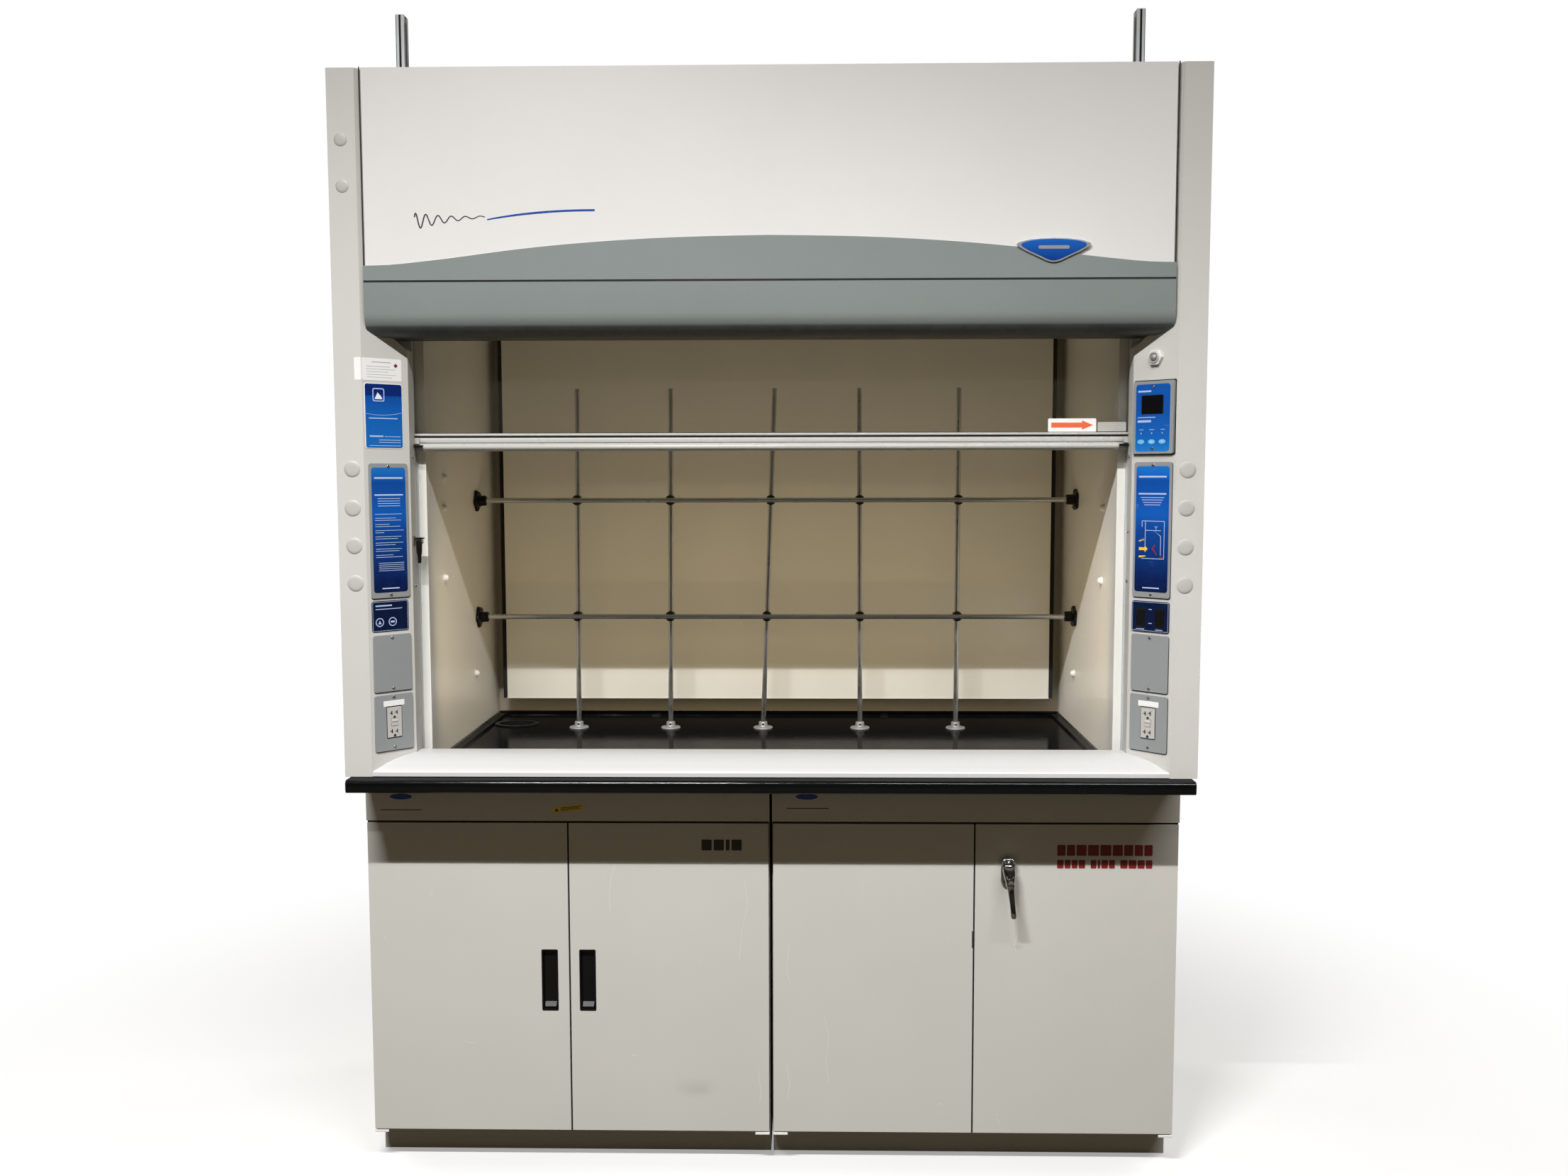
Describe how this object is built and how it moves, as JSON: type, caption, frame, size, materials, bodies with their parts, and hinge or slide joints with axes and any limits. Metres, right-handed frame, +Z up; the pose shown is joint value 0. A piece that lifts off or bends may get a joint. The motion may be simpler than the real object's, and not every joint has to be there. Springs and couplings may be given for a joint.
{
  "type": "bench fume hood",
  "caption": "Bench fume hood with a counterbalanced vertical sash, angled corner posts, arched header, lattice rods and cup sink on a black worktop over two storage cabinets.",
  "frame": {"origin": "floor level, centre of the bounding box's footprint", "axes": "+Z up, -Y out of the open front towards the user, +X to the user's right"},
  "size_m": [1.829, 0.921, 2.567],
  "materials": {
    "white_enamel": "smooth white powder coat",
    "grey_enamel": "slate grey powder coat",
    "post_enamel": "warm white powder coat",
    "cabinet_enamel": "light greige powder coat",
    "liner_resin": "off-white fibre-reinforced resin sheet",
    "epoxy_black": "glossy black epoxy resin",
    "sill_enamel": "bright white powder coat",
    "plate_enamel": "mid grey enamel",
    "blue_overlay": "blue printed overlay",
    "navy_enamel": "dark navy enamel",
    "device_plastic": "moulded off-white plastic",
    "black_plastic": "moulded black plastic",
    "black_steel": "dark finished steel",
    "rod_steel": "satin stainless steel",
    "duct_steel": "stainless steel",
    "wire_steel": "stranded stainless wire",
    "chrome": "polished chrome",
    "track_aluminium": "satin grey extrusion",
    "clear_glass": "clear safety glass"
  },
  "bodies": {
    "casing": {"work_surface": "epoxy_black", "cup_sink": "epoxy_black", "airfoil_sill": "sill_enamel", "corner_post_left": "post_enamel", "corner_post_right": "post_enamel", "side_panel_left": "post_enamel", "side_panel_right": "post_enamel", "header_panel": "white_enamel", "header_arch_trim": "grey_enamel", "header_visor": "grey_enamel", "side_liner_left": "liner_resin", "side_liner_right": "liner_resin", "rear_liner": "liner_resin", "ceiling_liner": "liner_resin", "baffle": "liner_resin", "duct_collar": "duct_steel", "light_fixture": "white_enamel", "sash_track_left": "track_aluminium", "sash_track_right": "track_aluminium", "sash_cable_left": "wire_steel", "sash_cable_right": "wire_steel", "rear_top_rail": "post_enamel", "service_access_plate_left": "plate_enamel", "service_access_plate_right": "plate_enamel", "blank_plate_left": "plate_enamel", "blank_plate_right": "plate_enamel", "outlet_plate_left": "plate_enamel", "outlet_plate_right": "plate_enamel", "outlet_left": "device_plastic", "outlet_right": "device_plastic", "switch_plate": "navy_enamel", "airflow_monitor": "blue_overlay", "lattice_upright_1": "rod_steel", "lattice_upright_2": "rod_steel", "lattice_upright_3": "rod_steel", "lattice_upright_4": "rod_steel", "lattice_upright_5": "rod_steel", "lattice_crossbar_upper": "rod_steel", "lattice_crossbar_lower": "rod_steel", "base_cabinet_left": "cabinet_enamel", "base_cabinet_right": "cabinet_enamel"},
    "sash": {"sash_glass": "clear_glass", "sash_handle": "sill_enamel"},
    "counterweight": {"counterweight": "black_steel"},
    "front_pulley_left": {"front_pulley_left": "black_plastic"},
    "front_pulley_right": {"front_pulley_right": "black_plastic"},
    "rear_pulley_shaft": {"rear_pulley_shaft": "black_steel"},
    "sash_stop": {"sash_stop_lever": "black_plastic"},
    "blower_switch": {"blower_switch_rocker": "black_plastic"},
    "light_switch": {"light_switch_rocker": "black_plastic"},
    "test_button_left": {"outlet_test_button_left": "device_plastic"},
    "test_button_right": {"outlet_test_button_right": "device_plastic"},
    "reset_button_left": {"outlet_reset_button_left": "device_plastic"},
    "reset_button_right": {"outlet_reset_button_right": "device_plastic"},
    "door_left_outer": {"door_left_outer": "cabinet_enamel"},
    "door_left_inner": {"door_left_inner": "cabinet_enamel"},
    "door_right_inner": {"door_right_inner": "cabinet_enamel"},
    "door_right_outer": {"door_right_outer": "cabinet_enamel", "latch_escutcheon": "chrome"},
    "latch_lever": {"latch_lever": "chrome"}
  },
  "joints": [
    {"name": "sash_slide", "type": "slide", "parent": "casing", "child": "sash", "axis": [0, 0, 1], "range_m": [-0.655, 0], "deforming": ["sash_cable_left", "sash_cable_right"]},
    {"name": "counterweight_slide", "type": "slide", "parent": "casing", "child": "counterweight", "axis": [0, 0, 1], "range_m": [0, 0.655]},
    {"name": "front_pulley_left_turn", "type": "hinge", "parent": "casing", "child": "front_pulley_left", "pos_m": [-0.815, -0.2819, 2.372], "axis": [1, 0, 0], "continuous": true},
    {"name": "front_pulley_right_turn", "type": "hinge", "parent": "casing", "child": "front_pulley_right", "pos_m": [0.815, -0.2819, 2.372], "axis": [1, 0, 0], "continuous": true},
    {"name": "rear_pulley_turn", "type": "hinge", "parent": "casing", "child": "rear_pulley_shaft", "pos_m": [0, 0.4105, 2.372], "axis": [1, 0, 0], "continuous": true},
    {"name": "sash_stop_swing", "type": "hinge", "parent": "casing", "child": "sash_stop", "pos_m": [-0.7695, -0.3305, 1.436], "axis": [1, 0, 0], "range_deg": [0, 90]},
    {"name": "blower_switch_rock", "type": "hinge", "parent": "casing", "child": "blower_switch", "pos_m": [0.8035, -0.36918, 1.274], "axis": [0.7071, -0.7071, 0], "range_deg": [-10.4, 0]},
    {"name": "light_switch_rock", "type": "hinge", "parent": "casing", "child": "light_switch", "pos_m": [0.83476, -0.40043, 1.274], "axis": [0.7071, -0.7071, 0], "range_deg": [-10.4, 0]},
    {"name": "test_button_left_press", "type": "slide", "parent": "casing", "child": "test_button_left", "axis": [-0.7071, 0.7071, 0], "range_m": [0, 0.001], "stiffness_N_per_m": 800},
    {"name": "reset_button_left_press", "type": "slide", "parent": "casing", "child": "reset_button_left", "axis": [-0.7071, 0.7071, 0], "range_m": [0, 0.001], "stiffness_N_per_m": 800},
    {"name": "test_button_right_press", "type": "slide", "parent": "casing", "child": "test_button_right", "axis": [0.7071, 0.7071, 0], "range_m": [0, 0.001], "stiffness_N_per_m": 800},
    {"name": "reset_button_right_press", "type": "slide", "parent": "casing", "child": "reset_button_right", "axis": [0.7071, 0.7071, 0], "range_m": [0, 0.001], "stiffness_N_per_m": 800},
    {"name": "door_left_outer_swing", "type": "hinge", "parent": "casing", "child": "door_left_outer", "pos_m": [-0.9025, -0.2875, 0.4415], "axis": [0, 0, -1], "range_deg": [0, 110]},
    {"name": "door_left_inner_swing", "type": "hinge", "parent": "casing", "child": "door_left_inner", "pos_m": [-0.015, -0.2875, 0.4415], "axis": [0, 0, 1], "range_deg": [0, 90]},
    {"name": "door_right_inner_swing", "type": "hinge", "parent": "casing", "child": "door_right_inner", "pos_m": [0.015, -0.2875, 0.4415], "axis": [0, 0, -1], "range_deg": [0, 90]},
    {"name": "door_right_outer_swing", "type": "hinge", "parent": "casing", "child": "door_right_outer", "pos_m": [0.9025, -0.2875, 0.4415], "axis": [0, 0, 1], "range_deg": [0, 110]},
    {"name": "latch_lever_turn", "type": "hinge", "parent": "door_right_outer", "child": "latch_lever", "pos_m": [0.531, -0.3055, 0.7], "axis": [0, 1, 0], "range_deg": [0, 90]}
  ],
  "couplings": [
    {"joint": "counterweight_slide", "follows": "sash_slide", "ratio": -1},
    {"joint": "front_pulley_left_turn", "follows": "sash_slide", "rad_per_m": -37.313},
    {"joint": "front_pulley_right_turn", "follows": "sash_slide", "rad_per_m": -37.313},
    {"joint": "rear_pulley_turn", "follows": "sash_slide", "rad_per_m": -37.313}
  ]
}
